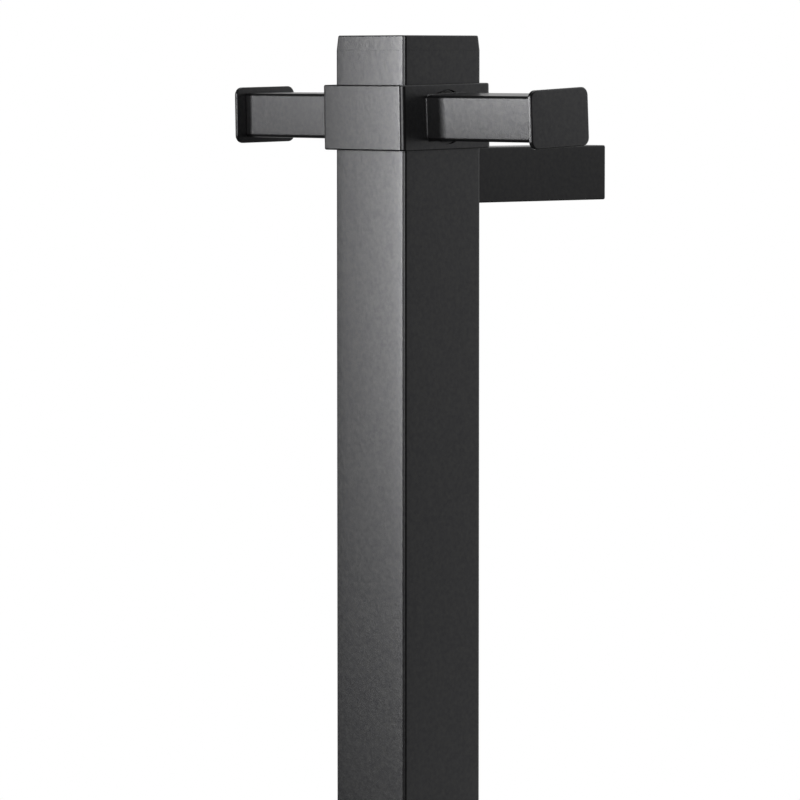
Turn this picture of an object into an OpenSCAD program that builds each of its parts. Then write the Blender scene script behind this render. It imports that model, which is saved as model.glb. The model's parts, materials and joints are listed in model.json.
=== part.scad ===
// Heated towel rail for a wall: one square post on two arms, with a hook collar that lifts off.
// Millimetres. +Z is up, the room is towards -Y and the wall is the plane Y = 0.
// The origin is on the wall, midway between the two wall screws.

/* [Post] */
// Outside width of the square post
post_w = 35; // [33:0.5:42]
// Height of the rail from end to end
rail_h = 900; // [700:10:1400]
// Wall of the post tube
post_wall = 1.5; // [1:0.1:2]
// Outside corner radius of the post
post_corner_r = 1.2; // [0.6:0.1:1.5]
// Height of each end cap that shows
cap_h = 5; // [3:0.5:8]
// How far each side of a cap leans in towards its outer end
cap_lean = 0.4; // [0.1:0.1:1]
// Length of the plug that each cap has inside the post
cap_plug_h = 12; // [9:0.5:16]

/* [Bracket arms] */
// Outside width of each square arm
arm_w = 19; // [18.5:0.5:22]
// Length of each arm, from the post to the wall
arm_len = 67; // [50:1:120]
// Wall of the arms
arm_wall = 1.2; // [1:0.1:1.4]
// Outside corner radius of the arms
arm_corner_r = 0.7; // [0.3:0.1:1]
// Distance from an end of the rail to the axis of the nearer arm
arm_drop = 47.5; // [45:0.5:70]

/* [Wall spigots] */
// Length of each spigot
spigot_len = 24; // [20:1:32]
// Clearance on each side between a spigot and its arm
spigot_gap = 0.2; // [0.1:0.05:0.3]
// Radius of the hole for a wall screw
wall_screw_r = 2.25; // [2:0.05:2.5]
// Radius of the recess for the head of a wall screw
wall_head_r = 4; // [3.6:0.1:4.2]
// Depth of that recess
wall_head_depth = 4.5; // [3:0.5:6]
// Radius of the cable hole
cable_hole_r = 3.1; // [2.5:0.1:3.3]
// Least wall between a hole and the edge of the spigot
spigot_edge = 0.6; // [0.4:0.1:0.8]
// Radius of the grub screws that lock the arms
grub_r = 2.5; // [2:0.1:3]
// Length of those grub screws
grub_len = 5; // [4:0.25:5.5]
// Distance from the wall to the grub screws
grub_back = 11; // [8:0.5:13]

/* [Hook collar] */
// Height of the collar
collar_h = 22; // [20:0.5:27]
// Wall of the collar
collar_wall = 2.3; // [2.2:0.1:4]
// Clearance on each side between the collar and the post
collar_gap = 0.5; // [0.3:0.05:0.6]
// Angle by which the loose collar tips forward where it hangs on the upper arm
collar_tip = 1.05; // [0:0.05:1.2]
// Outside corner radius of the collar
collar_corner_r = 1.75; // [0.8:0.05:2.2]

/* [Hooks] */
// Reach of a hook, from the collar to the outer face of its end plate
hook_reach = 54.8; // [35:0.1:90]
// Depth of a hook arm, front to back
hook_arm_d = 18.4; // [12:0.1:24]
// Height of a hook arm
hook_arm_h = 15.3; // [10:0.1:18]
// Radius of the long edges of a hook arm
hook_edge_r = 1.2; // [0.3:0.1:2]
// Depth of an end plate, front to back
plate_d = 26.4; // [20:0.2:36]
// Height of an end plate
plate_h = 19.4; // [16:0.2:26]
// Thickness of an end plate
plate_t = 1.5; // [1:0.1:3]
// Corner radius of an end plate
plate_corner_r = 2.8; // [1:0.1:4]
// Radius of the round seat of a hook in the collar
seat_r = 9.25; // [8:0.05:9.7]
// Depth of that seat
seat_depth = 0.8; // [0.5:0.1:1.1]
// Radius of the hook screws
hook_screw_r = 2; // [1.5:0.1:2.5]
// Length of a hook screw inside its arm
hook_screw_grip = 10; // [6:0.5:20]
// Angle by which the right hook has turned on its screw
right_hook_turn = 1.7; // [0:0.1:2]

/* [Heating element] */
// Radius of the heating cable
cable_r = 2.5; // [2:0.1:2.8]
// Distance between the two runs of the cable
cable_spread = 16; // [15:0.25:17]
// Thickness of the carrier channel
carrier_t = 1; // [0.8:0.1:1.4]
// Height of the channel's lips
carrier_lip = 4; // [3:0.5:6]
// Least distance between cable saddles
saddle_pitch = 120; // [115:5:160]
// Length of a saddle along the cable
saddle_len = 8; // [6:0.5:12]
// Thickness of the bowed springs
spring_t = 0.8; // [0.5:0.1:1.2]

/* [Wiring] */
// Radius of an insulated lead
lead_r = 1.1; // [0.9:0.05:1.3]
// Radius of the hole in the post for the supply cable
lead_hole_r = 5; // [4.5:0.1:5.8]
// Height of the terminal block
block_h = 18; // [14:0.5:22]
// Distance from the lower arm's axis up to the terminal block
block_rise = 24.5; // [18:0.5:34]
// Length of the thermal cut-out
cutout_len = 18; // [12:0.5:24]
// Length of a splice
splice_len = 24; // [20:0.5:30]

/* [Hidden] */
$fn = 64;

// Overrun of every cut
cut = 1;
// Gap round a piece that is pressed, screwed or crimped into its hole
snug = 0.05;
// Facets of the corners that are blended by a hull
blend_fn = 32;

// Planes of the post
post_inner = post_w - 2 * post_wall;
post_y = -arm_len - post_w / 2;
inner_front = post_y - post_inner / 2;
inner_rear = post_y + post_inner / 2;
post_inner_r = post_corner_r / 3;
post_top = rail_h / 2;
cap_plug_gap = 0.1;
cap_slice_h = cap_lean / 10;

// Screw of the bottom cap
cap_screw_r = 1.5;
cap_screw_len = 9;
cap_screw_head_r = 2.8;
cap_screw_head_h = 1.6;
cap_screw_z = -post_top + cap_h + cap_plug_h / 2;

// Arms and spigots
arm_z = post_top - arm_drop;
arm_inner = arm_w - 2 * arm_wall;
spigot_w = arm_inner - 2 * spigot_gap;
wall_screw_off = spigot_w / 2 - spigot_edge - wall_head_r;
cable_hole_off = spigot_w / 2 - spigot_edge - cable_hole_r;
grub_sink = 0.1;
grub_socket_depth = grub_len / 2;
grub_pocket = arm_wall - arm_w / 2 + spigot_gap;
grub_tip = -arm_w / 2 + grub_sink + grub_len;

// Collar and hooks. The loose collar has slid to the left and forward until it all but touches the post.
collar_inner = post_w + 2 * collar_gap;
collar_w = collar_inner + 2 * collar_wall;
collar_inner_r = collar_gap;
collar_touch = 0.05;
collar_slide = collar_gap - collar_touch;
collar_mid = [
    -collar_slide,
    post_y - collar_slide + collar_h / 2 * sin(collar_tip),
    arm_z + arm_w / 2 + collar_h / 2 * cos(collar_tip) - collar_inner / 2 * sin(collar_tip)
];
hook_arm_len = hook_reach - plate_t;
plate_ease = plate_t / 4;
washer_gap = 0.65;
washer_r = seat_r - washer_gap;
hook_head_h = collar_wall - seat_depth;
hook_head_r = hook_screw_r + hook_head_h;

// Carrier and cable, measured from the front wall of the post inwards
carrier_side_gap = 0.8;
carrier_end_gap = 8;
carrier_w = post_inner - 2 * carrier_side_gap;
carrier_face = inner_front + carrier_t;
carrier_z0 = -post_top + cap_h + cap_plug_h + carrier_end_gap;
carrier_z1 = post_top - cap_h - cap_plug_h - carrier_end_gap;
run_gap = 0.15;
run_x = cable_spread / 2;
run_y = carrier_face + cable_r + run_gap;
carrier_end_margin = 6;
cable_jacket = 1;
cable_tail_r = cable_r - cable_jacket;
cable_top = carrier_z1 - carrier_end_margin - run_x - cable_r;

// Rivets that hold things to the carrier
rivet_r = 1.6;
rivet_head_r = 3;
rivet_head_h = 1;

// Wiring, from the terminal block upwards
block_z0 = -arm_z + block_rise;
block_z1 = block_z0 + block_h;
block_d = 11;
pole_count = 3;
block_w = pole_count * run_x;
insert_wall = 0.6;
insert_recess = 1;
insert_r = lead_r + insert_wall;
insert_h = block_h - 2 * insert_recess;
insert_bore_r = lead_r + snug;
tail_r = lead_r * 2 / 3;
tail_len = block_h / 3;
terminal_screw_r = lead_r;
terminal_well_gap = 0.6;
terminal_well_r = terminal_screw_r + terminal_well_gap;
terminal_screw_sink = 1.5;
terminal_screw_z_share = 0.25;
block_screw_r = 1.5;
block_screw_head_r = 2.4;
block_screw_head_h = 1.4;
lead_rise = 42;
cutout_z0 = block_z1 + lead_rise;
cutout_z1 = cutout_z0 + cutout_len;
cutout_w = 2 * (run_x - rivet_head_r - carrier_t - 2 * snug);
cutout_d = 2 * (cable_r + run_gap);
switched_len = 26;
splice_z0 = cutout_z1 + switched_len;
splice_z1 = splice_z0 + splice_len;
splice_r = cable_r;
splice_grip = splice_len / 3;

// Earth connection on the rear wall
earth_r = 2;
earth_len = 12;
earth_rise = 36;
earth_z = block_z1 + earth_rise;
ring_t = 0.8;
ring_r = 2 * earth_r;
barrel_r = lead_r + ring_t;
barrel_len = 7;
barrel_y = inner_rear - barrel_r - snug;
barrel_z1 = earth_z - ring_r - snug;
washer_t = 0.8;
nut_t = 3.2;
nut_r = 2 * earth_r;
earth_bend_r = 6;
earth_first_rise = 5;

// Saddles and springs
saddle_roof = 2.3;
saddle_d = 2 * cable_r + run_gap + saddle_roof;
saddle_side = 1.6;
saddle_w = cable_spread + 2 * cable_r + 2 * saddle_side;
saddle_margin = 10;
saddle_span = cable_top - splice_z1 - 2 * saddle_margin;
saddle_count = floor(saddle_span / saddle_pitch) + 1;
saddle_step = saddle_span / (saddle_count - 1);
saddle_zs = [for (i = [0 : saddle_count - 1]) splice_z1 + saddle_margin + i * saddle_step];
spring_zs = [for (i = [0 : 2 : saddle_count - 2]) saddle_zs[i] + saddle_step / 2];
spring_side_gap = 1;
spring_w = cable_spread - 2 * cable_r - 2 * spring_side_gap;
spring_r = inner_rear - carrier_face - snug;
spring_foot = 8;

// Grommet in the rear wall of the post
grommet_flange = 1.6;
grommet_flange_t = 1.2;
grommet_bore_gap = 0.1;
grommet_bore_r = cable_hole_r + grommet_bore_gap;

steel = "silver";
black_coat = "dimgray";

// A square or rectangle with round corners, centred
module round_rect(w, h, r) {
    square([w - 2 * r, h], center = true);
    square([w, h - 2 * r], center = true);
    for (x = [-1, 1], y = [-1, 1])
        translate([x * (w / 2 - r), y * (h / 2 - r)]) circle(r);
}

// Turns a shape that stands on Z so that it points along +Y
module along_y() {
    rotate([-90, 0, 0]) children();
}

// Turns a shape that stands on Z so that it points along +X
module along_x() {
    rotate([0, 90, 0]) children();
}

// The same shape on the right, or mirrored to the left
module on_side(side) {
    if (side < 0) mirror([1, 0, 0]) children();
    else children();
}

// A rivet with a flat head, its shank pointing to -Y from the plane y
module rivet(y, z, grip) {
    translate([0, y, z]) {
        along_y() cylinder(r = rivet_head_r, h = rivet_head_h);
        translate([0, -grip, 0]) along_y() cylinder(r = rivet_r, h = grip);
    }
}

// A rivet hole through the carrier, or through what lies on it
module rivet_hole(z) {
    translate([0, inner_front - cut, z]) along_y() cylinder(r = rivet_r + snug, h = post_inner / 2);
}

// Post and caps

module post_tube() {
    tube_h = rail_h - 2 * cap_h;
    color(black_coat) difference() {
        translate([0, post_y, -tube_h / 2]) linear_extrude(tube_h) difference() {
            round_rect(post_w, post_w, post_corner_r);
            round_rect(post_inner, post_inner, post_inner_r);
        }
        translate([0, inner_rear - cut, -arm_z])
            along_y() cylinder(r = lead_hole_r + snug, h = post_wall + 2 * cut);
        translate([0, inner_rear - cut, cap_screw_z])
            along_y() cylinder(r = cap_screw_r + snug, h = post_wall + 2 * cut);
    }
}

// A thin slice of a cap, with its lower face at the height z
module cap_slice(z, w) {
    translate([0, 0, z]) linear_extrude(cap_slice_h) round_rect(w, w, post_corner_r, $fn = blend_fn);
}

// A cap with its outer face at height 0 and its plug below it
module end_cap() {
    plug_w = post_inner - 2 * cap_plug_gap;
    hull() {
        cap_slice(-cap_h, post_w);
        cap_slice(-cap_slice_h, post_w - 2 * cap_lean);
    }
    translate([0, 0, -cap_h - cap_plug_h])
        linear_extrude(cap_plug_h) round_rect(plug_w, plug_w, post_inner_r);
}

module top_cap() {
    color(black_coat) translate([0, post_y, post_top]) end_cap();
}

module bottom_cap() {
    hole_len = cap_screw_len - post_wall + cut;
    color(black_coat) difference() {
        translate([0, post_y, -post_top]) mirror([0, 0, 1]) end_cap();
        translate([0, inner_rear - hole_len, cap_screw_z])
            along_y() cylinder(r = cap_screw_r + snug, h = hole_len);
    }
}

module bottom_cap_screw() {
    color(steel) translate([0, -arm_len, cap_screw_z]) along_y() difference() {
        union() {
            cylinder(r = cap_screw_head_r, h = cap_screw_head_h);
            translate([0, 0, -cap_screw_len]) cylinder(r = cap_screw_r, h = cap_screw_len);
        }
        translate([0, 0, cap_screw_head_h / 3]) cylinder(r = cap_screw_r, h = cap_screw_head_h, $fn = 6);
    }
}

// Arms, spigots and their grub screws

module bracket_arm(z) {
    color(black_coat) difference() {
        translate([0, -arm_len, z]) along_y() linear_extrude(arm_len) difference() {
            round_rect(arm_w, arm_w, arm_corner_r);
            square(arm_inner, center = true);
        }
        translate([-arm_w / 2 - cut, -grub_back, z])
            along_x() cylinder(r = grub_r + snug, h = arm_wall + 2 * cut);
    }
}

module upper_bracket_arm() {
    bracket_arm(arm_z);
}

module lower_bracket_arm() {
    bracket_arm(-arm_z);
}

// A spigot with its wall screw hole above its cable hole
module wall_spigot() {
    color(steel) difference() {
        translate([-spigot_w / 2, -spigot_len, -spigot_w / 2]) cube([spigot_w, spigot_len, spigot_w]);
        translate([0, -spigot_len - cut, wall_screw_off])
            along_y() cylinder(r = wall_screw_r, h = spigot_len + 2 * cut);
        translate([0, -spigot_len - cut, wall_screw_off])
            along_y() cylinder(r = wall_head_r, h = wall_head_depth + cut);
        translate([0, -spigot_len - cut, -cable_hole_off])
            along_y() cylinder(r = cable_hole_r, h = spigot_len + 2 * cut);
        translate([grub_pocket - cut, -grub_back, 0])
            along_x() cylinder(r = grub_r + snug, h = grub_tip + snug - grub_pocket + cut);
    }
}

module upper_wall_spigot() {
    translate([0, 0, arm_z]) wall_spigot();
}

module lower_wall_spigot() {
    translate([0, 0, -arm_z]) mirror([0, 0, 1]) wall_spigot();
}

module arm_grub_screws() {
    point_h = grub_r / 3;
    color("darkgray") for (z = [-arm_z, arm_z])
        translate([grub_tip - grub_len, -grub_back, z]) along_x() difference() {
            union() {
                cylinder(r = grub_r, h = grub_len - point_h);
                translate([0, 0, grub_len - point_h])
                    cylinder(r1 = grub_r, r2 = grub_r - point_h, h = point_h);
            }
            translate([0, 0, -cut]) cylinder(r = grub_r / 2, h = grub_socket_depth + cut, $fn = 6);
        }
}

// Collar and hooks

// Places what is made about the collar's middle where the collar hangs
module on_collar() {
    translate(collar_mid) rotate([collar_tip, 0, 0]) children();
}

// The same for a piece of a hook, which turns with it about its screw
module on_hook(side) {
    on_collar() rotate([side > 0 ? right_hook_turn : 0, 0, 0]) on_side(side) children();
}

module hook_collar() {
    color(black_coat) on_collar() difference() {
        translate([0, 0, -collar_h / 2]) linear_extrude(collar_h) difference() {
            round_rect(collar_w, collar_w, collar_corner_r);
            round_rect(collar_inner, collar_inner, collar_inner_r);
        }
        for (side = [-1, 1]) on_side(side) {
            translate([collar_w / 2 - seat_depth, 0, 0]) along_x() cylinder(r = seat_r, h = seat_depth + cut);
            translate([collar_inner / 2, 0, 0]) along_x() cylinder(
                r1 = hook_head_r + snug, r2 = hook_screw_r + snug, h = hook_head_h
            );
            translate([collar_inner / 2 - cut, 0, 0])
                along_x() cylinder(r = hook_screw_r + snug, h = collar_wall + 2 * cut);
        }
    }
}

module hook_arm(side) {
    color(black_coat) on_hook(side) difference() {
        translate([collar_w / 2, 0, 0])
            along_x() linear_extrude(hook_arm_len) round_rect(hook_arm_h, hook_arm_d, hook_edge_r);
        translate([collar_w / 2 - cut, 0, 0])
            along_x() cylinder(r = hook_screw_r + snug, h = hook_screw_grip + 2 * cut);
    }
}

module left_hook_arm() {
    hook_arm(-1);
}

module right_hook_arm() {
    hook_arm(1);
}

// A slab of an end plate, smaller than the plate by inset on every edge
module plate_slab(t, inset) {
    linear_extrude(t)
        round_rect(plate_h - 2 * inset, plate_d - 2 * inset, plate_corner_r - inset, $fn = blend_fn);
}

// An end plate whose outer edge is eased
module hook_plate(side) {
    color(black_coat) on_hook(side) translate([collar_w / 2 + hook_arm_len, 0, 0]) along_x() hull() {
        plate_slab(plate_t - plate_ease, 0);
        plate_slab(plate_t, plate_ease);
    }
}

module left_hook_plate() {
    hook_plate(-1);
}

module right_hook_plate() {
    hook_plate(1);
}

module hook_seat_washers() {
    color("black") on_collar() for (side = [-1, 1])
        on_side(side) translate([collar_w / 2 - seat_depth, 0, 0]) along_x() difference() {
            cylinder(r = washer_r, h = seat_depth);
            translate([0, 0, -cut]) cylinder(r = hook_screw_r + snug, h = seat_depth + 2 * cut);
        }
}

module hook_screws() {
    socket_depth = hook_head_h * 2 / 3;
    color(steel) on_collar() for (side = [-1, 1])
        on_side(side) translate([collar_inner / 2, 0, 0]) along_x() difference() {
            union() {
                cylinder(r1 = hook_head_r, r2 = hook_screw_r, h = hook_head_h);
                cylinder(r = hook_screw_r, h = collar_wall + hook_screw_grip);
            }
            translate([0, 0, -cut]) cylinder(r = hook_screw_r * 2 / 3, h = socket_depth + cut, $fn = 6);
        }
}

// Carrier, cable, saddles and springs

module element_carrier() {
    color("lightgray") difference() {
        translate([0, 0, carrier_z0]) linear_extrude(carrier_z1 - carrier_z0) {
            translate([-carrier_w / 2, inner_front]) square([carrier_w, carrier_t]);
            for (side = [-1, 1])
                translate([side * (carrier_w - carrier_t) / 2 - carrier_t / 2, inner_front])
                    square([carrier_t, carrier_lip]);
        }
        for (z = saddle_zs) rivet_hole(z);
        for (z = spring_zs) rivet_hole(z - spring_r - spring_foot / 2);
        rivet_hole(cutout_z0 + cutout_len / 2);
        translate([run_x / 2, inner_front - cut, block_z0 + block_h / 2])
            along_y() cylinder(r = block_screw_r + snug, h = carrier_t + 2 * cut);
    }
}

module heating_cable() {
    color("firebrick") {
        for (x = [-run_x, run_x]) {
            translate([x, run_y, splice_z1]) cylinder(r = cable_r, h = cable_top - splice_z1);
            translate([x, run_y, splice_z1 - splice_grip]) cylinder(r = cable_tail_r, h = splice_grip + cut);
        }
        translate([0, run_y, cable_top]) rotate([90, 0, 0])
            rotate_extrude(angle = 180) translate([run_x, 0]) circle(cable_r);
    }
}

module cable_saddles() {
    groove_r = cable_r + snug;
    color("ivory") for (z = saddle_zs) difference() {
        translate([-saddle_w / 2, carrier_face, z - saddle_len / 2]) cube([saddle_w, saddle_d, saddle_len]);
        for (x = [-run_x, run_x]) {
            translate([x, run_y, z - saddle_len / 2 - cut]) cylinder(r = groove_r, h = saddle_len + 2 * cut);
            translate([x - groove_r, carrier_face - cut, z - saddle_len / 2 - cut])
                cube([2 * groove_r, cut + run_y - carrier_face, saddle_len + 2 * cut]);
        }
        rivet_hole(z);
    }
}

module saddle_rivets() {
    color(steel) for (z = saddle_zs) rivet(carrier_face + saddle_d, z, saddle_d + carrier_t);
}

module carrier_springs() {
    foot_h = spring_foot + spring_t;
    color("slategray") for (z = spring_zs) difference() {
        translate([-spring_w / 2, carrier_face, z]) union() {
            along_x() difference() {
                cylinder(r = spring_r, h = spring_w);
                translate([0, 0, -cut]) cylinder(r = spring_r - spring_t, h = spring_w + 2 * cut);
                translate([-spring_r - cut, -spring_r - cut, -cut])
                    cube([2 * (spring_r + cut), spring_r + cut, spring_w + 2 * cut]);
            }
            for (z0 = [-spring_r - spring_foot, spring_r - spring_t])
                translate([0, 0, z0]) cube([spring_w, spring_t, foot_h]);
        }
        rivet_hole(z - spring_r - spring_foot / 2);
    }
}

module spring_rivets() {
    color(steel) for (z = spring_zs)
        rivet(carrier_face + spring_t, z - spring_r - spring_foot / 2, spring_t + carrier_t);
}

module cable_splices() {
    bore_len = splice_grip + snug;
    color("black") for (x = [-run_x, run_x]) translate([x, run_y, splice_z0]) difference() {
        cylinder(r = splice_r, h = splice_len);
        translate([0, 0, -cut]) cylinder(r = lead_r + snug, h = bore_len + cut);
        translate([0, 0, splice_len - bore_len]) cylinder(r = cable_tail_r + snug, h = bore_len + cut);
    }
}

// Cut-out and its clip

module thermal_cutout() {
    color("dimgray") translate([-run_x, carrier_face + cutout_d / 2, cutout_z0])
        linear_extrude(cutout_len) round_rect(cutout_w, cutout_d, cutout_d / 5);
}

// A strip that goes over the cut-out and down to a foot beside it
module cutout_clip() {
    strip_t = carrier_t;
    strip_h = cutout_len / 2;
    over_y = carrier_face + cutout_d + snug;
    side_x = cutout_w / 2 - run_x + snug;
    foot_x1 = rivet_head_r + snug;
    z0 = cutout_z0 + (cutout_len - strip_h) / 2;
    color(steel) difference() {
        union() {
            translate([-run_x - cutout_w / 2, over_y, z0])
                cube([cutout_w + snug + strip_t, strip_t, strip_h]);
            translate([side_x, carrier_face, z0]) cube([strip_t, over_y + strip_t - carrier_face, strip_h]);
            translate([side_x, carrier_face, z0]) cube([foot_x1 - side_x, strip_t, strip_h]);
        }
        rivet_hole(cutout_z0 + cutout_len / 2);
    }
}

module clip_rivet() {
    color(steel) rivet(carrier_face + carrier_t, cutout_z0 + cutout_len / 2, 2 * carrier_t);
}

// Terminal block

// Places that follow the three poles of the terminal block
module at_poles() {
    for (x = [-run_x, 0, run_x]) translate([x, run_y, block_z0]) children();
}

// Places that follow the two screws of each pole
module at_terminal_screws() {
    for (share = [terminal_screw_z_share, 1 - terminal_screw_z_share])
        at_poles() translate([0, 0, share * block_h]) children();
}

module terminal_block() {
    color("ivory") difference() {
        translate([-block_w / 2, carrier_face, block_z0]) cube([block_w, block_d, block_h]);
        at_poles() translate([0, 0, -cut]) cylinder(r = insert_r + snug, h = block_h + 2 * cut);
        at_terminal_screws() along_y() cylinder(r = terminal_well_r, h = block_d);
        translate([run_x / 2, carrier_face - cut, block_z0 + block_h / 2])
            along_y() cylinder(r = block_screw_r + snug, h = block_d + 2 * cut);
        translate([run_x / 2, carrier_face + block_d - block_screw_head_h - snug, block_z0 + block_h / 2])
            along_y() cylinder(r = block_screw_head_r + snug, h = block_screw_head_h + cut);
    }
}

module terminal_inserts() {
    color("gold") difference() {
        at_poles() translate([0, 0, (block_h - insert_h) / 2]) difference() {
            cylinder(r = insert_r, h = insert_h);
            translate([0, 0, -cut]) cylinder(r = insert_bore_r, h = insert_h + 2 * cut);
        }
        at_terminal_screws() along_y() cylinder(r = terminal_screw_r + snug, h = block_d);
    }
}

module terminal_screws() {
    screw_end = carrier_face + block_d - terminal_screw_sink;
    screw_start = run_y + tail_r + snug;
    color(steel) at_terminal_screws() translate([0, screw_start - run_y, 0])
        along_y() cylinder(r = terminal_screw_r, h = screw_end - screw_start);
}

module block_screw() {
    head_y = carrier_face + block_d - block_screw_head_h;
    color(steel) translate([run_x / 2, head_y, block_z0 + block_h / 2]) {
        along_y() cylinder(r = block_screw_head_r, h = block_screw_head_h);
        translate([0, inner_front - head_y, 0])
            along_y() cylinder(r = block_screw_r, h = head_y - inner_front);
    }
}

// Leads

// A straight lead with a bare tail below it, which goes into the terminal block
module lead_from_block(x, z1) {
    translate([x, run_y, block_z1]) cylinder(r = lead_r, h = z1 - block_z1);
    translate([x, run_y, block_z1 - tail_len]) cylinder(r = tail_r, h = tail_len + cut);
}

module live_lead() {
    color("saddlebrown") lead_from_block(-run_x, cutout_z0);
}

module switched_lead() {
    color("saddlebrown") translate([-run_x, run_y, cutout_z1])
        cylinder(r = lead_r, h = splice_z0 + splice_grip - cutout_z1);
}

module neutral_lead() {
    color("royalblue") lead_from_block(run_x, splice_z0 + splice_grip);
}

// Up from the block, back to the rear wall, and up into the ring terminal
module earth_lead() {
    bend_z = block_z1 + earth_first_rise;
    cross_z = bend_z + earth_bend_r;
    top_z = cross_z + earth_bend_r;
    color("yellowgreen") {
        lead_from_block(0, bend_z);
        translate([0, run_y + earth_bend_r, bend_z]) rotate([0, -90, 0])
            rotate([0, 0, -90]) rotate_extrude(angle = 90) translate([earth_bend_r, 0]) circle(lead_r);
        translate([0, run_y + earth_bend_r, cross_z])
            along_y() cylinder(r = lead_r, h = barrel_y - run_y - 2 * earth_bend_r);
        translate([0, barrel_y - earth_bend_r, top_z]) rotate([0, -90, 0])
            rotate([0, 0, 90]) rotate_extrude(angle = 90) translate([earth_bend_r, 0]) circle(lead_r);
        translate([0, barrel_y, top_z]) cylinder(r = lead_r, h = barrel_z1 - top_z);
    }
}

// Earth connection

module earth_stud() {
    color(steel) translate([0, inner_rear - earth_len, earth_z])
        along_y() cylinder(r = earth_r, h = earth_len);
}

module earth_ring_terminal() {
    neck_w = barrel_r;
    color("silver") difference() {
        union() {
            translate([0, inner_rear - ring_t, earth_z]) along_y() cylinder(r = ring_r, h = ring_t);
            translate([-neck_w / 2, inner_rear - ring_t, barrel_z1 - barrel_len / 3])
                cube([neck_w, ring_t, earth_z - barrel_z1 + barrel_len / 3 - earth_r - snug]);
            translate([0, barrel_y, barrel_z1 - barrel_len]) cylinder(r = barrel_r, h = barrel_len);
        }
        translate([0, inner_rear - ring_t - cut, earth_z])
            along_y() cylinder(r = earth_r + snug, h = ring_t + 2 * cut);
        translate([0, barrel_y, barrel_z1 - barrel_len - cut])
            cylinder(r = lead_r + snug, h = barrel_len + 2 * cut);
    }
}

module earth_washer() {
    color(steel) translate([0, inner_rear - ring_t - washer_t, earth_z]) along_y() difference() {
        cylinder(r = ring_r, h = washer_t);
        translate([0, 0, -cut]) cylinder(r = earth_r + snug, h = washer_t + 2 * cut);
    }
}

module earth_nut() {
    color(steel) translate([0, inner_rear - ring_t - washer_t - nut_t, earth_z]) along_y() difference() {
        cylinder(r = nut_r, h = nut_t, $fn = 6);
        translate([0, 0, -cut]) cylinder(r = earth_r + snug, h = nut_t + 2 * cut);
    }
}

// A rubber ring with a groove that grips the rear wall of the post
module lead_grommet() {
    flange_r = lead_hole_r + grommet_flange;
    color("black") translate([0, inner_rear - grommet_flange_t, -arm_z]) along_y() rotate_extrude() polygon([
        [grommet_bore_r, 0],
        [flange_r, 0],
        [flange_r, grommet_flange_t],
        [lead_hole_r, grommet_flange_t],
        [lead_hole_r, grommet_flange_t + post_wall],
        [flange_r, grommet_flange_t + post_wall],
        [flange_r, 2 * grommet_flange_t + post_wall],
        [grommet_bore_r, 2 * grommet_flange_t + post_wall]
    ]);
}

post_tube();
top_cap();
bottom_cap();
bottom_cap_screw();
upper_bracket_arm();
lower_bracket_arm();
upper_wall_spigot();
lower_wall_spigot();
arm_grub_screws();
hook_collar();
left_hook_arm();
right_hook_arm();
left_hook_plate();
right_hook_plate();
hook_seat_washers();
hook_screws();
element_carrier();
heating_cable();
cable_saddles();
saddle_rivets();
carrier_springs();
spring_rivets();
cable_splices();
thermal_cutout();
cutout_clip();
clip_rivet();
terminal_block();
terminal_inserts();
terminal_screws();
block_screw();
live_lead();
switched_lead();
neutral_lead();
earth_lead();
earth_stud();
earth_ring_terminal();
earth_washer();
earth_nut();
lead_grommet();
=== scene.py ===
# Looks of the heated towel rail: its finishes, eased edges and weld seams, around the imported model.
# Metres. +Z is up, the room is towards -Y and the wall is the plane Y = 0.
import json
import math

import bmesh
import bpy
from mathutils import Matrix, Vector


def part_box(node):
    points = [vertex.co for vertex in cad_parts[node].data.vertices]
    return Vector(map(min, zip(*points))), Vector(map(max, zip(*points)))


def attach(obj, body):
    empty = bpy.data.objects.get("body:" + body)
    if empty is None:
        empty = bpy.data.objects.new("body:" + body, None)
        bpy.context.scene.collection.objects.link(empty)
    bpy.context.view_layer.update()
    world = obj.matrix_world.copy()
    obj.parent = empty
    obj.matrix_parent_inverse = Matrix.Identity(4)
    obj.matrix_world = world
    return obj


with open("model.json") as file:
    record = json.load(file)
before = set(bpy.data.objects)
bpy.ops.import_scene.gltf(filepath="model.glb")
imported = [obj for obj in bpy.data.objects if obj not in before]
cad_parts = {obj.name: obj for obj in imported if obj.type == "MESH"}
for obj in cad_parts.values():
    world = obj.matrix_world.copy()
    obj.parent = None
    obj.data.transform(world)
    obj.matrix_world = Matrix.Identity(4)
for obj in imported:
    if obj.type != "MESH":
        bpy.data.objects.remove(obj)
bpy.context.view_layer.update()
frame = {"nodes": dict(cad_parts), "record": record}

MM = 0.001
PARTS = frame["nodes"]

# Photograph's camera, found together with the sizes from the edges in the photograph
CAMERA_AZIMUTH = math.radians(47.89)
CAMERA_DISTANCE = 1591.4 * MM
CAMERA_DROP = 8.7 * MM
CAMERA_PITCH = math.radians(4.14)
FOCAL_PIXELS = 4679.9
CENTRE_PIXEL_X = 408.07
FRAME_PIXELS = 800
SENSOR_WIDTH = 36
CAMERA_NEAR = 0.05
CAMERA_FAR = 50

# Floor below the rail, with its tones for the eye and its tone in reflections
FLOOR_DROP = 0.35
FLOOR_RADIUS = 4.0
FLOOR_DARK = 0.8
FLOOR_LIGHT = 0.84
FLOOR_GLOSS = 0.05
FLOOR_GRAIN = 4 * MM
# Distances over which the floor turns white: from the rail outward, and behind it in reflections
FLOOR_FAR = (0.25 * FLOOR_RADIUS, 0.9 * FLOOR_RADIUS)
FLOOR_BEHIND = (0.1 * FLOOR_RADIUS, 0.4 * FLOOR_RADIUS)

# What gloss sees round the rail: a pale backdrop, dimmer low down, a card on the left and a dim room
BACKDROP_GLOSS = 0.75
BACKDROP_LOW_GLOSS = 0.47
SIDE_GLOSS = 0.4
ROOM_GLOSS = 0.03
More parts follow.
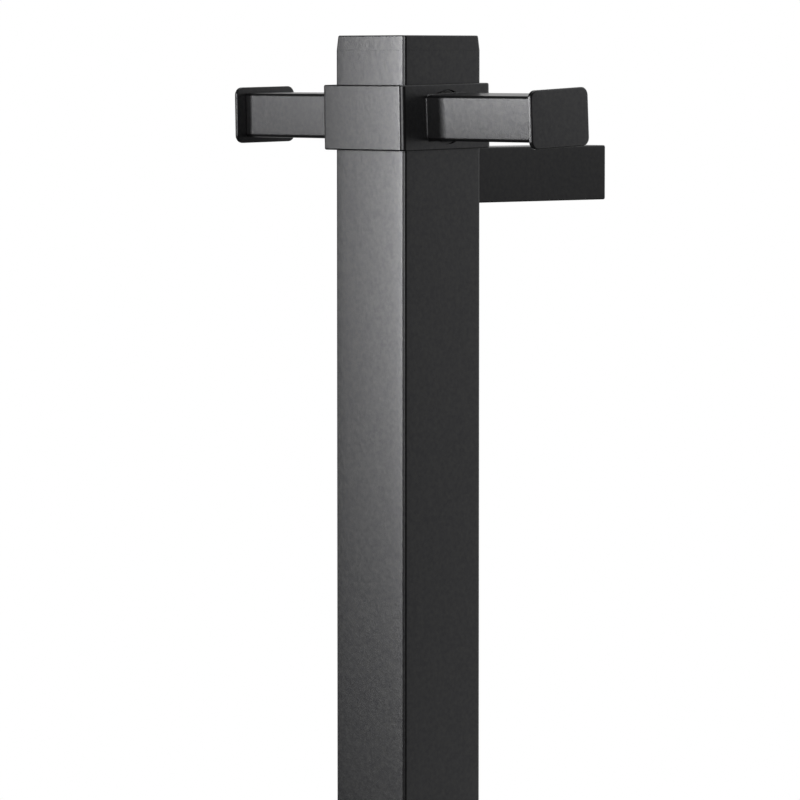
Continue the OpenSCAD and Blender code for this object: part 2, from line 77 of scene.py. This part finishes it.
# Parts of a direction between which the backdrop brightens upward and rearward, and the card to the left
BACKDROP_RISE = (-0.1, 0.02)
BACKDROP_DEPTH = (0.4, 0.63)
SIDE_REACH = (-0.97, -0.8)
# Grey that the room sheds on everything
FILL = 0.3

# Square lamp overhead, which points down
TOP_LAMP_SIZE = 1.4
TOP_LAMP_WATTS = 22
TOP_LAMP_PLACE = (0, 0.3, 2.3)


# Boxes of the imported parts

def middle_of(part):
    """Centre of a part's box."""
    low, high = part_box(part)
    return (low + high) / 2


def size_of(part):
    """Size of a part's box."""
    low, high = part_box(part)
    return high - low


POST_MIDDLE = middle_of("post_tube")
RAIL_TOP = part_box("top_cap")[1].z
RAIL_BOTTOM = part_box("bottom_cap")[0].z


# Node helpers

class Graph:
    """Adds nodes to a node tree and links them."""

    def __init__(self, tree):
        self.tree = tree
        tree.nodes.clear()

    def add(self, kind, inputs=None, **settings):
        """A node with its settings, its inputs set to values or linked to other sockets."""
        made = self.tree.nodes.new(kind)
        for name, value in settings.items():
            setattr(made, name, value)
        for name, value in (inputs or {}).items():
            if isinstance(value, bpy.types.NodeSocket):
                self.tree.links.new(value, made.inputs[name])
            else:
                made.inputs[name].default_value = value
        return made

    def math(self, operation, a, b=0.0):
        """The result of a math node."""
        return self.add("ShaderNodeMath", {0: a, 1: b}, operation=operation).outputs[0]

    def mix(self, factor, a, b):
        """A colour between a and b."""
        made = self.add("ShaderNodeMix", {"Factor": factor}, data_type="RGBA")
        for socket, value in ((made.inputs[6], a), (made.inputs[7], b)):
            if isinstance(value, bpy.types.NodeSocket):
                self.tree.links.new(value, socket)
            else:
                socket.default_value = value
        return made.outputs[2]

    def noise(self, place, size, detail=2.0, roughness=0.5):
        """Noise with features of about the size given, from 0 to 1."""
        inputs = {"Vector": place, "Scale": 1 / size, "Detail": detail, "Roughness": roughness}
        return self.add("ShaderNodeTexNoise", inputs).outputs["Fac"]

    def spread(self, value, low, high, start=0.3, end=0.7):
        """A value from start to end, taken to low to high."""
        inputs = {"Value": value, "From Min": start, "From Max": end, "To Min": low, "To Max": high}
        return self.add("ShaderNodeMapRange", inputs).outputs["Result"]

    def bump(self, height, normal=None):
        """A normal bent by a height in metres."""
        made = self.add("ShaderNodeBump", {"Height": height, "Distance": 1.0, "Strength": 1.0})
        if normal is not None:
            self.tree.links.new(normal, made.inputs["Normal"])
        return made.outputs["Normal"]

    def surface(self, shader):
        """Ends the tree of a material with a shader."""
        out = self.tree.nodes.new("ShaderNodeOutputMaterial")
        self.tree.links.new(shader, out.inputs["Surface"])


def material(name):
    """A new material and its graph."""
    made = bpy.data.materials.new(name)
    made.use_nodes = True
    return made, Graph(made.node_tree)


def grey(value, blue=1.0):
    """A grey, a little bluer when blue is over 1."""
    return (value, value, value * blue, 1)


# Powder coat

# Tone of the coat, in soft blotches
COAT_DARK = 0.003
COAT_LIGHT = 0.005
COAT_BLUE = 1.06
COAT_BLOTCH = 14 * MM
# Gloss of the coat, in a fine mottle that dims it to the dip; the hooks are a little glossier
COAT_ROUGHNESS = 0.295
HOOKS_COAT_ROUGHNESS = 0.281
COAT_ROUGHNESS_SPREAD = 0.0055
COAT_MOTTLE = 1.3 * MM
COAT_GLOSS_DIP = 0.77
COAT_SPECULAR = 0.7
# Painted shade: the bracket arms' coat has a lower specular level than the rest, so they render darker,
# as if in shade
BRACKET_PAINTED_SHADE_SPECULAR = 0.42
# Orange peel and grain: size of the features and their height
COAT_PEEL = 2.2 * MM
COAT_PEEL_HEIGHT = 0.026 * MM
COAT_GRAIN = 0.9 * MM
COAT_GRAIN_HEIGHT = 0.0022 * MM
# Angles by which a face bulges at its edges and rolls over in its last few millimetres
FACE_CROWN = math.radians(1.3)
EDGE_ROLL = math.radians(1.75)
COLLAR_CROWN = math.radians(1.14)
COLLAR_EDGE_ROLL = math.radians(0.8)
EDGE_ROLL_POWER = 8
# Axis along which a part runs, so that its face has no crown that way
RUNS_ALONG = {
    "left_hook_arm": 0,
    "right_hook_arm": 0,
    "left_hook_plate": 0,
    "right_hook_plate": 0,
    "upper_bracket_arm": 1,
    "lower_bracket_arm": 1,
}
ALONG_Z = 2
# Slope of the caps' sides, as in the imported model
CAP_LEAN = 0.08


def crown_height(graph, place, part):
    """Height of the slight crown that the flat faces of a drawn tube or bar have, in metres."""
    section_of = "post_tube" if part in ("top_cap", "bottom_cap") else part
    centre = middle_of(section_of)
    size = size_of(section_of)
    split = graph.add("ShaderNodeSeparateXYZ", {"Vector": place})
    crown_angle, roll_angle = FACE_CROWN, EDGE_ROLL
    if part == "hook_collar":
        crown_angle, roll_angle = COLLAR_CROWN, COLLAR_EDGE_ROLL
    total = 0.0
    for axis in range(3):
        if axis == RUNS_ALONG.get(part, ALONG_Z):
            continue
        half = size[axis] / 2
        off = graph.math("SUBTRACT", split.outputs[axis], centre[axis])
        share = graph.math("MULTIPLY", off, 1 / half)
        squared = graph.math("MULTIPLY", share, share)
        crown = graph.math("MULTIPLY", squared, -half * math.tan(crown_angle) / 2)
        rolled = graph.math("POWER", squared, EDGE_ROLL_POWER / 2)
        roll = graph.math("MULTIPLY", rolled, -half * math.tan(roll_angle) / EDGE_ROLL_POWER)
        total = graph.math("ADD", total, graph.math("ADD", crown, roll))
    return total


def upright_height(graph, place, part):
    """Height that makes the coat on the leaning sides of a cap shade as on the upright tube."""
    slope = {"top_cap": CAP_LEAN, "bottom_cap": -CAP_LEAN}.get(part, 0.0)
    split = graph.add("ShaderNodeSeparateXYZ", {"Vector": place})
    return graph.math("MULTIPLY", split.outputs["Z"], slope)


def powder_coat(name, part):
    """Satin black powder coat with a fine orange peel, for the part whose box sets its crown."""
    made, graph = material(name)
    place = graph.add("ShaderNodeTexCoord").outputs["Object"]
    blotch = graph.noise(place, COAT_BLOTCH, detail=3.0)
    mottle = graph.noise(place, COAT_MOTTLE, detail=3.0)
    peel = graph.noise(place, COAT_PEEL)
    grain = graph.noise(place, COAT_GRAIN, detail=3.0, roughness=0.6)
    color = graph.mix(blotch, grey(COAT_DARK, COAT_BLUE), grey(COAT_LIGHT, COAT_BLUE))
    roughness = HOOKS_COAT_ROUGHNESS if "hook" in part else COAT_ROUGHNESS
    low = roughness - COAT_ROUGHNESS_SPREAD
    high = roughness + COAT_ROUGHNESS_SPREAD
    heights = graph.math("MULTIPLY", peel, COAT_PEEL_HEIGHT)
    heights = graph.math("ADD", heights, graph.math("MULTIPLY", grain, COAT_GRAIN_HEIGHT))
    form = graph.math("ADD", crown_height(graph, place, part), upright_height(graph, place, part))
    crowned = graph.bump(form)
    shine = graph.mix(graph.spread(mottle, 0.0, 1.0), grey(COAT_GLOSS_DIP, COAT_BLUE), grey(1.0))
    shader = graph.add("ShaderNodeBsdfPrincipled", {
        "Base Color": color,
        "Roughness": graph.spread(mottle, low, high),
        "Specular Tint": shine,
        "Normal": graph.bump(heights, crowned),
        "IOR": 1.5,
        # Painted shade on the bracket arms and their weld seams: a lower specular level darkens them
        "Specular IOR Level": BRACKET_PAINTED_SHADE_SPECULAR if "bracket" in part else COAT_SPECULAR,
    })
    graph.surface(shader.outputs["BSDF"])
    return made


# Metals, plastics and rubbers of the inner pieces

# Fine marks on metal, with their height, and the clouds that vary its tone
MARK = 0.35 * MM
MARK_HEIGHT = 0.004 * MM
METAL_CLOUD = 5 * MM
METAL_VARIATION = 0.12
# Clouds in mouldings, and the fine grain of insulation with its height
MOULDED_CLOUD = 6 * MM
SLEEVE_GRAIN = 0.3 * MM
SLEEVE_GRAIN_HEIGHT = 0.004 * MM


def plated_metal(name, color, roughness, streak=(1.0, 1.0, 1.0)):
    """Metal with fine marks stretched along the axes by streak."""
    made, graph = material(name)
    place = graph.add("ShaderNodeTexCoord").outputs["Object"]
    mapped = graph.add("ShaderNodeMapping", {"Vector": place, "Scale": streak}).outputs["Vector"]
    marks = graph.noise(mapped, MARK, detail=4.0, roughness=0.65)
    clouds = graph.noise(place, METAL_CLOUD, detail=3.0)
    darker = tuple(channel * (1 - METAL_VARIATION) for channel in color) + (1,)
    lighter = tuple(min(1.0, channel * (1 + METAL_VARIATION)) for channel in color) + (1,)
    shader = graph.add("ShaderNodeBsdfPrincipled", {
        "Base Color": graph.mix(clouds, darker, lighter),
        "Metallic": 1.0,
        "Roughness": graph.spread(marks, roughness * 0.75, roughness * 1.25),
        "Normal": graph.bump(graph.math("MULTIPLY", marks, MARK_HEIGHT)),
    })
    graph.surface(shader.outputs["BSDF"])
    return made


def moulded(name, color, roughness, grain=0.4 * MM, grain_height=0.01 * MM):
    """Moulded plastic or rubber with a fine grain and slight clouds."""
    made, graph = material(name)
    place = graph.add("ShaderNodeTexCoord").outputs["Object"]
    fine = graph.noise(place, grain, detail=3.0)
    clouds = graph.noise(place, MOULDED_CLOUD, detail=2.0)
    darker = tuple(channel * 0.88 for channel in color) + (1,)
    lighter = tuple(min(1.0, channel * 1.1) for channel in color) + (1,)
    shader = graph.add("ShaderNodeBsdfPrincipled", {
        "Base Color": graph.mix(clouds, darker, lighter),
        "Roughness": graph.spread(fine, roughness - 0.05, roughness + 0.05),
        "Normal": graph.bump(graph.math("MULTIPLY", fine, grain_height)),
    })
    graph.surface(shader.outputs["BSDF"])
    return made


def striped_sleeve(name, ground, stripe):
    """Sleeve of the earth lead: a yellow stripe on green."""
    made, graph = material(name)
    place = graph.add("ShaderNodeTexCoord").outputs["Object"]
    split = graph.add("ShaderNodeSeparateXYZ", {"Vector": place})
    side = graph.math("GREATER_THAN", split.outputs["X"], 0.0)
    fine = graph.noise(place, SLEEVE_GRAIN)
    shader = graph.add("ShaderNodeBsdfPrincipled", {
        "Base Color": graph.mix(side, ground, stripe),
        "Roughness": graph.spread(fine, 0.4, 0.5),
        "Normal": graph.bump(graph.math("MULTIPLY", fine, SLEEVE_GRAIN_HEIGHT)),
    })
    graph.surface(shader.outputs["BSDF"])
    return made


def inner_finishes():
    """The finish of every material slot but the powder coat."""
    along_z = (1.0, 1.0, 0.15)
    sleeve = (0.4, SLEEVE_GRAIN, SLEEVE_GRAIN_HEIGHT)
    return {
        "zinc_steel": plated_metal("zinc_plate", (0.6, 0.62, 0.66), 0.28),
        "black_oxide_steel": plated_metal("black_oxide", (0.05, 0.05, 0.055), 0.4),
        "spring_steel": plated_metal("spring_steel_strip", (0.36, 0.38, 0.42), 0.3, along_z),
        "carrier_aluminium": plated_metal("mill_aluminium", (0.72, 0.72, 0.73), 0.36, along_z),
        "terminal_brass": plated_metal("turned_brass", (0.78, 0.58, 0.27), 0.25),
        "tinned_copper": plated_metal("tinned_copper_sheet", (0.68, 0.66, 0.62), 0.3),
        "red_silicone": moulded("silicone_sleeve", (0.42, 0.06, 0.04), 0.55),
        "black_rubber": moulded("soft_rubber", (0.018, 0.018, 0.018), 0.7),
        "black_plastic": moulded("cutout_case", (0.028, 0.028, 0.03), 0.45),
        "natural_nylon": moulded("natural_nylon_moulding", (0.74, 0.7, 0.6), 0.45),
        "brown_sleeve": moulded("brown_insulation", (0.2, 0.09, 0.04), *sleeve),
        "blue_sleeve": moulded("blue_insulation", (0.03, 0.12, 0.42), *sleeve),
        "earth_sleeve": striped_sleeve("earth_insulation", (0.08, 0.32, 0.05, 1), (0.75, 0.6, 0.04, 1)),
    }


# Edges

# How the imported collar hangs, and its height
COLLAR_TIP = math.radians(1.05)
COLLAR_HEIGHT = 22 * MM
COLLAR_AXIS = Vector((0, -math.sin(COLLAR_TIP), math.cos(COLLAR_TIP)))
X_AXIS = Vector((1, 0, 0))
Y_AXIS = Vector((0, 1, 0))
Z_AXIS = Vector((0, 0, 1))

# Tolerances for joined points, for flat faces and for finding a part's ends
JOINED = 0.002 * MM
FLAT_ANGLE = math.radians(0.5)
END_SLACK = 0.05 * MM
FACE_WEIGHT = 100
BEVEL_SEGMENTS = 4

# Radii of the eased ends
COLLAR_END = 0.55 * MM
HOOK_ARM_END = 0.35 * MM
PLATE_END = 0.3 * MM
BRACKET_END = 0.25 * MM
CAP_END = 0.5 * MM


def end_group(part, axis, reach, rounded):
    """A node group that shades a part smooth and marks its ends' edges for a bevel, or as sharp."""
    tree = bpy.data.node_groups.new(part + "_ends", "GeometryNodeTree")
    tree.interface.new_socket("Geometry", in_out="INPUT", socket_type="NodeSocketGeometry")
    tree.interface.new_socket("Geometry", in_out="OUTPUT", socket_type="NodeSocketGeometry")
    start = tree.nodes.new("NodeGroupInput")
    end = tree.nodes.new("NodeGroupOutput")
    shade = tree.nodes.new("GeometryNodeSetShadeSmooth")
    tree.links.new(start.outputs[0], shade.inputs["Geometry"])
    place = tree.nodes.new("GeometryNodeInputPosition")
    along = tree.nodes.new("ShaderNodeVectorMath")
    along.operation = "DOT_PRODUCT"
    along.inputs[1].default_value = axis
    tree.links.new(place.outputs[0], along.inputs[0])
    either = tree.nodes.new("FunctionNodeBooleanMath")
    either.operation = "OR"
    middle = middle_of(part).dot(axis)
    limits = (("GREATER_THAN", middle + reach - END_SLACK), ("LESS_THAN", middle - reach + END_SLACK))
    for index, (operation, limit) in enumerate(limits):
        compare = tree.nodes.new("FunctionNodeCompare")
        compare.operation = operation
        compare.inputs["B"].default_value = limit
        tree.links.new(along.outputs["Value"], compare.inputs["A"])
        tree.links.new(compare.outputs[0], either.inputs[index])
    store = tree.nodes.new("GeometryNodeStoreNamedAttribute")
    store.data_type = "FLOAT" if rounded else "BOOLEAN"
    store.domain = "EDGE"
    store.inputs["Name"].default_value = "bevel_weight_edge" if rounded else "sharp_edge"
    tree.links.new(shade.outputs[0], store.inputs["Geometry"])
    tree.links.new(either.outputs[0], store.inputs["Value"])
    tree.links.new(store.outputs[0], end.inputs[0])
    return tree


def ease_ends(part, axis, reach, radius):
    """Rounds the edges at the ends of a part by modifiers and keeps its flat faces flat in the light."""
    obj = PARTS[part]
    weld = obj.modifiers.new("join_points", "WELD")
    weld.merge_threshold = JOINED
    flat = obj.modifiers.new("join_flat_faces", "DECIMATE")
    flat.decimate_type = "DISSOLVE"
    flat.angle_limit = FLAT_ANGLE
    mark = obj.modifiers.new("mark_ends", "NODES")
    mark.node_group = end_group(part, axis, reach, radius > 0)
    if radius:
        bevel = obj.modifiers.new("ease_ends", "BEVEL")
        bevel.limit_method = "WEIGHT"
        bevel.width = radius
        bevel.segments = BEVEL_SEGMENTS
        bevel.miter_outer = "MITER_ARC"
        bevel.use_clamp_overlap = False
    normals = obj.modifiers.new("flat_light", "WEIGHTED_NORMAL")
    normals.weight = FACE_WEIGHT
    normals.keep_sharp = radius == 0


def far_end(part, axis):
    """Distance from the middle of a part to its end along an axis."""
    return size_of(part).dot(axis) / 2


def ease_parts():
    """Eases the ends of the coated parts, as filing and the thickness of the coat do."""
    ease_ends("post_tube", Z_AXIS, far_end("post_tube", Z_AXIS), 0)
    ease_ends("hook_collar", COLLAR_AXIS, COLLAR_HEIGHT / 2, COLLAR_END)
    for arm in ("left_hook_arm", "right_hook_arm"):
        ease_ends(arm, X_AXIS, far_end(arm, X_AXIS), HOOK_ARM_END)
    for plate in ("left_hook_plate", "right_hook_plate"):
        ease_ends(plate, X_AXIS, far_end(plate, X_AXIS), PLATE_END)
    for arm in ("upper_bracket_arm", "lower_bracket_arm"):
        ease_ends(arm, Y_AXIS, far_end(arm, Y_AXIS), BRACKET_END)
    for cap in ("top_cap", "bottom_cap"):
        ease_ends(cap, Z_AXIS, far_end(cap, Z_AXIS), CAP_END)


# Weld seams and root fillets

# Leg of a seam and the pitch and height of its ripples
SEAM_LEG = 1.7 * MM
SEAM_PITCH = 0.9 * MM
SEAM_RIPPLE = 0.06 * MM
SEAM_STEPS_PER_PITCH = 4
# Leg of a root fillet and the distance between its sections
ROOT_LEG = 0.4 * MM
ROOT_STEP = 0.8 * MM
FILLET_ROWS = 6
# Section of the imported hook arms, and the turn of the right one on its screw
ARM_DEPTH = 18.4 * MM
ARM_HEIGHT = 15.3 * MM
ARM_EDGE = 1.2 * MM
RIGHT_HOOK_TURN = math.radians(1.7)


def rounded_outline(half_u, half_v, radius, step):
    """Points and outward directions round a rectangle with round corners, in its own plane."""
    outline = []
    for quarter in range(4):
        turn = Matrix.Rotation(quarter * math.pi / 2, 2)
        reach, side = (half_u, half_v) if quarter % 2 == 0 else (half_v, half_u)
        straight = side - radius
        per_side = max(2, round(2 * straight / step))
        per_corner = max(3, round(radius * math.pi / 2 / step))
        for i in range(per_side):
            along = -straight + 2 * straight * i / per_side
            outline.append((turn @ Vector((reach, along)), turn @ Vector((1, 0))))
        for i in range(per_corner):
            angle = math.pi / 2 * i / per_corner
            out = Vector((math.cos(angle), math.sin(angle)))
            outline.append((turn @ (Vector((reach - radius, straight)) + radius * out), turn @ out))
    return outline


def fillet(name, outline, legs, origin, u_axis, v_axis, rise, body, part):
    """A concave fillet round an outline, with one leg length for each of its points."""
    mesh = bmesh.new()
    rows = []
    for (point, out), leg in zip(outline, legs):
        section = [Vector((0.0, 0.0))]
        for i in range(FILLET_ROWS + 1):
            angle = math.pi / 2 * i / FILLET_ROWS
            section.append(Vector((leg * (1 - math.sin(angle)), leg * (1 - math.cos(angle)))))
        row = []
        for away, up in section:
            flat = point + out * away
            row.append(mesh.verts.new(origin + u_axis * flat.x + v_axis * flat.y + rise * up))
        rows.append(row)
    count = len(rows[0])
    for index, row in enumerate(rows):
        following = rows[(index + 1) % len(rows)]
        for i in range(count):
            j = (i + 1) % count
            mesh.faces.new((row[i], row[j], following[j], following[i]))
    bmesh.ops.recalc_face_normals(mesh, faces=mesh.faces)
    for face in mesh.faces:
        face.smooth = True
    data = bpy.data.meshes.new(name)
    mesh.to_mesh(data)
    mesh.free()
    piece = bpy.data.objects.new(name, data)
    bpy.context.scene.collection.objects.link(piece)
    data.materials.append(powder_coat(name + "_coat", part))
    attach(piece, body)


def weld_seam(name, arm):
    """A rippled weld all round a bracket arm, where it meets the back of the post."""
    low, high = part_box(arm)
    half = (high.x - low.x) / 2
    origin = Vector((middle_of(arm).x, low.y, middle_of(arm).z))
    outline = rounded_outline(half, half, SEAM_LEG / 2, SEAM_PITCH / SEAM_STEPS_PER_PITCH)
    legs = []
    for index in range(len(outline)):
        wave = math.cos(2 * math.pi * index / SEAM_STEPS_PER_PITCH)
        legs.append(SEAM_LEG + SEAM_RIPPLE * wave)
    fillet(name, outline, legs, origin, X_AXIS, Z_AXIS, Y_AXIS, "rail", arm)


def root_fillet(name, arm, side, turn):
    """The coat that has run into the corner between a hook arm and the collar."""
    low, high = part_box(arm)
    middle = middle_of(arm)
    origin = Vector((low.x if side > 0 else high.x, middle.y, middle.z))
    lean = Matrix.Rotation(COLLAR_TIP + turn, 3, "X")
    outline = rounded_outline(ARM_DEPTH / 2, ARM_HEIGHT / 2, ARM_EDGE, ROOT_STEP)
    legs = [ROOT_LEG] * len(outline)
    fillet(name, outline, legs, origin, lean @ Y_AXIS, lean @ Z_AXIS, side * X_AXIS, "hooks", arm)


# Dressing

def dress_parts():
    """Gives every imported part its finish."""
    slots = {row["node"]: row["material_slot"] for row in frame["record"]["subparts"]}
    finishes = inner_finishes()
    for part, obj in PARTS.items():
        slot = slots[part]
        if slot == "black_coat":
            finish = powder_coat(part + "_coat", part)
        else:
            finish = finishes[slot]
        for material_slot in obj.material_slots:
            material_slot.material = finish


# Studio

def floor_material():
    """Pale floor that turns to the white of the background away from the rail."""
    made, graph = material("pale_floor")
    place = graph.add("ShaderNodeTexCoord").outputs["Object"]
    fine = graph.noise(place, FLOOR_GRAIN, detail=3.0)
    path = graph.add("ShaderNodeLightPath")
    mirror = graph.math("MAXIMUM", path.outputs["Is Glossy Ray"], path.outputs["Is Transmission Ray"])
    tone = graph.mix(fine, grey(FLOOR_DARK), grey(FLOOR_LIGHT))
    tone = graph.mix(mirror, tone, grey(FLOOR_GLOSS))
    painted = graph.add("ShaderNodeBsdfDiffuse", {"Color": tone})
    white = graph.add("ShaderNodeEmission", {"Color": grey(1.0), "Strength": 1.0})
    split = graph.add("ShaderNodeSeparateXYZ", {"Vector": place})
    length = graph.add("ShaderNodeVectorMath", {0: place}, operation="LENGTH").outputs["Value"]
    far = graph.spread(length, 0.0, 1.0, *FLOOR_FAR)
    behind = graph.spread(split.outputs["Y"], 0.0, 1.0, *FLOOR_BEHIND)
    mirror = graph.math("MULTIPLY", mirror, behind)
    seen = graph.math("MAXIMUM", path.outputs["Is Camera Ray"], mirror)
    whiteness = graph.math("MULTIPLY", far, seen)
    shader = graph.add("ShaderNodeMixShader", {0: whiteness, 1: painted.outputs[0], 2: white.outputs[0]})
    graph.surface(shader.outputs[0])
    return made


def make_floor():
    """A round floor below the rail."""
    mesh = bmesh.new()
    bmesh.ops.create_circle(mesh, cap_ends=True, radius=FLOOR_RADIUS, segments=96)
    data = bpy.data.meshes.new("floor")
    mesh.to_mesh(data)
    mesh.free()
    floor = bpy.data.objects.new("floor", data)
    floor.location = (0, 0, RAIL_BOTTOM - FLOOR_DROP)
    data.materials.append(floor_material())
    bpy.context.scene.collection.objects.link(floor)


def make_world():
    """White for the camera, a pale backdrop and a dim room for gloss, and a grey fill for the rest."""
    world = bpy.data.worlds.new("studio")
    world.use_nodes = True
    bpy.context.scene.world = world
    graph = Graph(world.node_tree)
    path = graph.add("ShaderNodeLightPath")
    toward = graph.add("ShaderNodeTexCoord").outputs["Generated"]
    split = graph.add("ShaderNodeSeparateXYZ", {"Vector": toward})
    height = graph.spread(split.outputs["Z"], BACKDROP_LOW_GLOSS, BACKDROP_GLOSS, *BACKDROP_RISE)
    backdrop = graph.spread(split.outputs["Y"], ROOM_GLOSS, height, *BACKDROP_DEPTH)
    side = graph.spread(split.outputs["X"], SIDE_GLOSS, 0.0, *SIDE_REACH)
    around = graph.math("ADD", backdrop, side)
    mirror = graph.math("MAXIMUM", path.outputs["Is Glossy Ray"], path.outputs["Is Transmission Ray"])
    strength = graph.mix(mirror, grey(FILL), around)
    strength = graph.mix(path.outputs["Is Camera Ray"], strength, grey(1.0))
    shade = graph.add("ShaderNodeBackground", {"Color": strength, "Strength": 1.0})
    out = graph.add("ShaderNodeOutputWorld", {"Surface": shade.outputs[0]})
    out.is_active_output = True


def softbox(name, azimuth, distance, height, width, tall, white_share):
    """A soft lamp round the post. A white card at the post that faces it gets white_share of white."""
    lamp = bpy.data.lights.new(name, "AREA")
    lamp.shape = "RECTANGLE"
    lamp.size = width
    lamp.size_y = tall
    lamp.energy = white_share * (math.pi * distance) ** 2
    holder = bpy.data.objects.new(name, lamp)
    angle = math.radians(azimuth)
    away = Vector((math.sin(angle), -math.cos(angle), 0))
    foot = Vector((POST_MIDDLE.x, POST_MIDDLE.y, height))
    holder.location = foot + away * distance
    holder.rotation_euler = away.to_track_quat("Z", "Y").to_euler()
    bpy.context.scene.collection.objects.link(holder)


def make_lamps():
    """The key lamp on the left, a broad lamp by the camera and a soft one overhead."""
    softbox("key_lamp", azimuth=-36.3, distance=2.8, height=0.74, width=0.6, tall=1.2, white_share=0.635)
    softbox("corner_lamp", azimuth=33, distance=1.3, height=0.6, width=0.8, tall=0.62, white_share=0.5)
    top = bpy.data.lights.new("top_lamp", "AREA")
    top.shape = "SQUARE"
    top.size = TOP_LAMP_SIZE
    top.energy = TOP_LAMP_WATTS
    holder = bpy.data.objects.new("top_lamp", top)
    holder.location = TOP_LAMP_PLACE
    bpy.context.scene.collection.objects.link(holder)


def make_camera():
    """The photograph's camera."""
    data = bpy.data.cameras.new("photo_camera")
    data.sensor_width = SENSOR_WIDTH
    data.lens = FOCAL_PIXELS / FRAME_PIXELS * SENSOR_WIDTH
    data.shift_x = (FRAME_PIXELS / 2 - CENTRE_PIXEL_X) / FRAME_PIXELS
    data.clip_start = CAMERA_NEAR
    data.clip_end = CAMERA_FAR
    camera = bpy.data.objects.new("photo_camera", data)
    away = Vector((math.sin(CAMERA_AZIMUTH), -math.cos(CAMERA_AZIMUTH), 0))
    foot = Vector((POST_MIDDLE.x, POST_MIDDLE.y, RAIL_TOP - CAMERA_DROP))
    camera.location = foot + away * CAMERA_DISTANCE
    camera.rotation_euler = (math.pi / 2 - CAMERA_PITCH, 0, CAMERA_AZIMUTH)
    bpy.context.scene.collection.objects.link(camera)
    bpy.context.scene.camera = camera


dress_parts()
ease_parts()
weld_seam("upper_weld_seam", "upper_bracket_arm")
weld_seam("lower_weld_seam", "lower_bracket_arm")
root_fillet("right_root_fillet", "right_hook_arm", 1, RIGHT_HOOK_TURN)
root_fillet("left_root_fillet", "left_hook_arm", -1, 0.0)
make_floor()
make_world()
make_lamps()
make_camera()
bpy.context.scene.view_settings.view_transform = "Standard"
